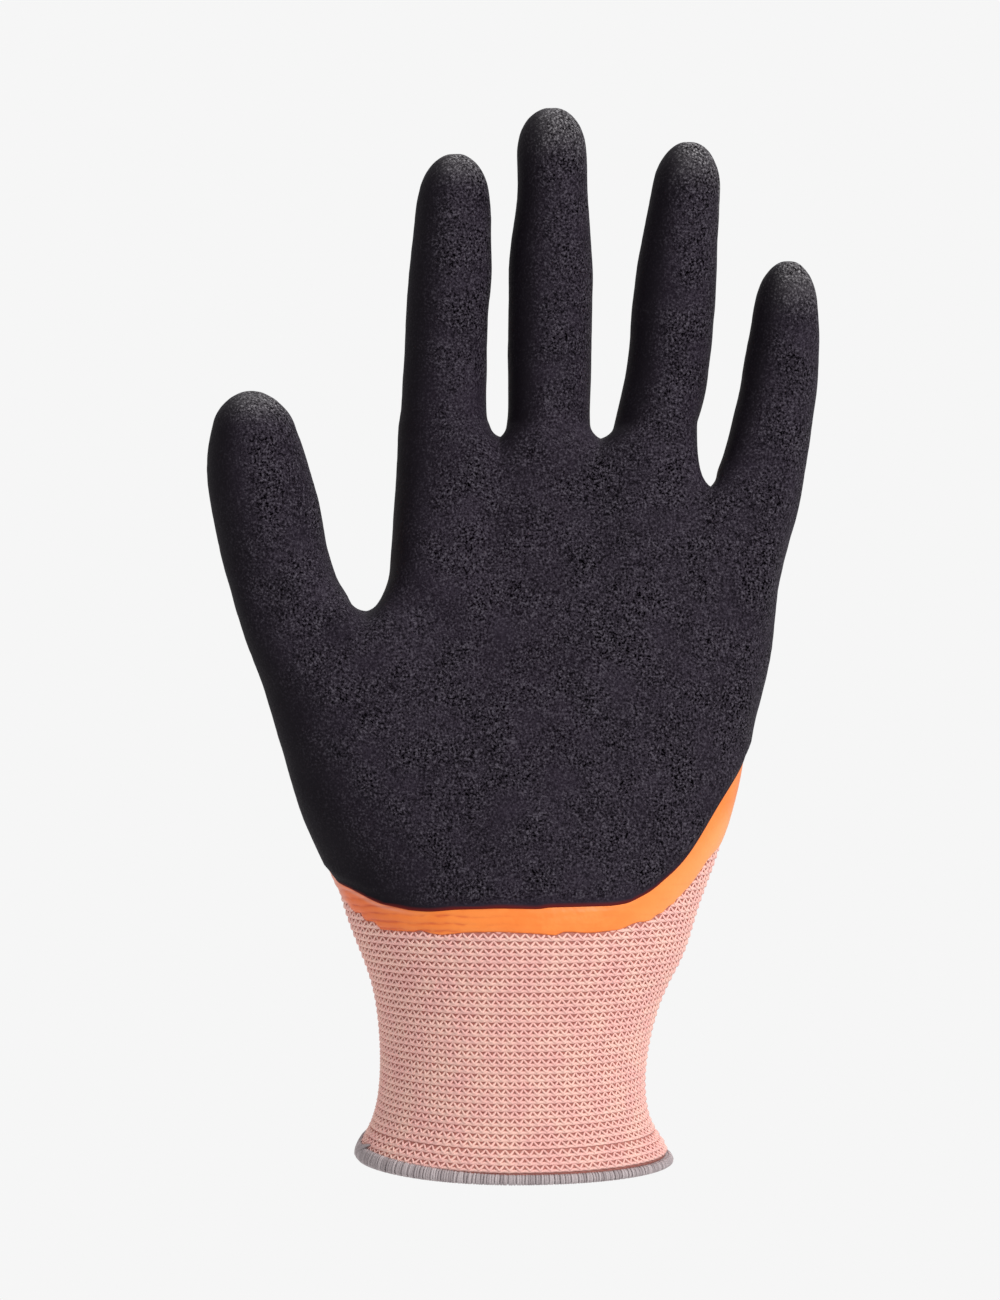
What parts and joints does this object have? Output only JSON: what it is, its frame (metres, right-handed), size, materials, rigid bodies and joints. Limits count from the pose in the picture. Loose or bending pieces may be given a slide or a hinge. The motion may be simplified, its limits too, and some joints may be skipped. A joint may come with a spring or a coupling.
{
  "type": "latex coated grip glove",
  "caption": "Left-hand knitted work glove with a smooth first latex dip, a sandy second dip over palm and fingertips, and an overlocked cuff, standing open at its full hand form.",
  "frame": {"origin": "middle of the cuff mouth, level with the lowest point of its hem", "axes": "+Z from the cuff to the fingertips, -Y out of the palm, +X to the little finger side"},
  "size_m": [0.1386, 0.061, 0.24],
  "materials": {
    "knit": "seamless rib-like knit of fine synthetic yarn, matt",
    "first_dip": "smooth foamed latex, satin",
    "second_dip": "sandy micro-wrinkled latex, matt with small glints",
    "overlock_thread": "overlocked thread wraps, matt"
  },
  "bodies": {
    "root": {"knit_liner": "knit", "latex_first_dip": "first_dip", "latex_palm_dip": "second_dip", "overlock_hem": "overlock_thread"}
  },
  "joints": []
}
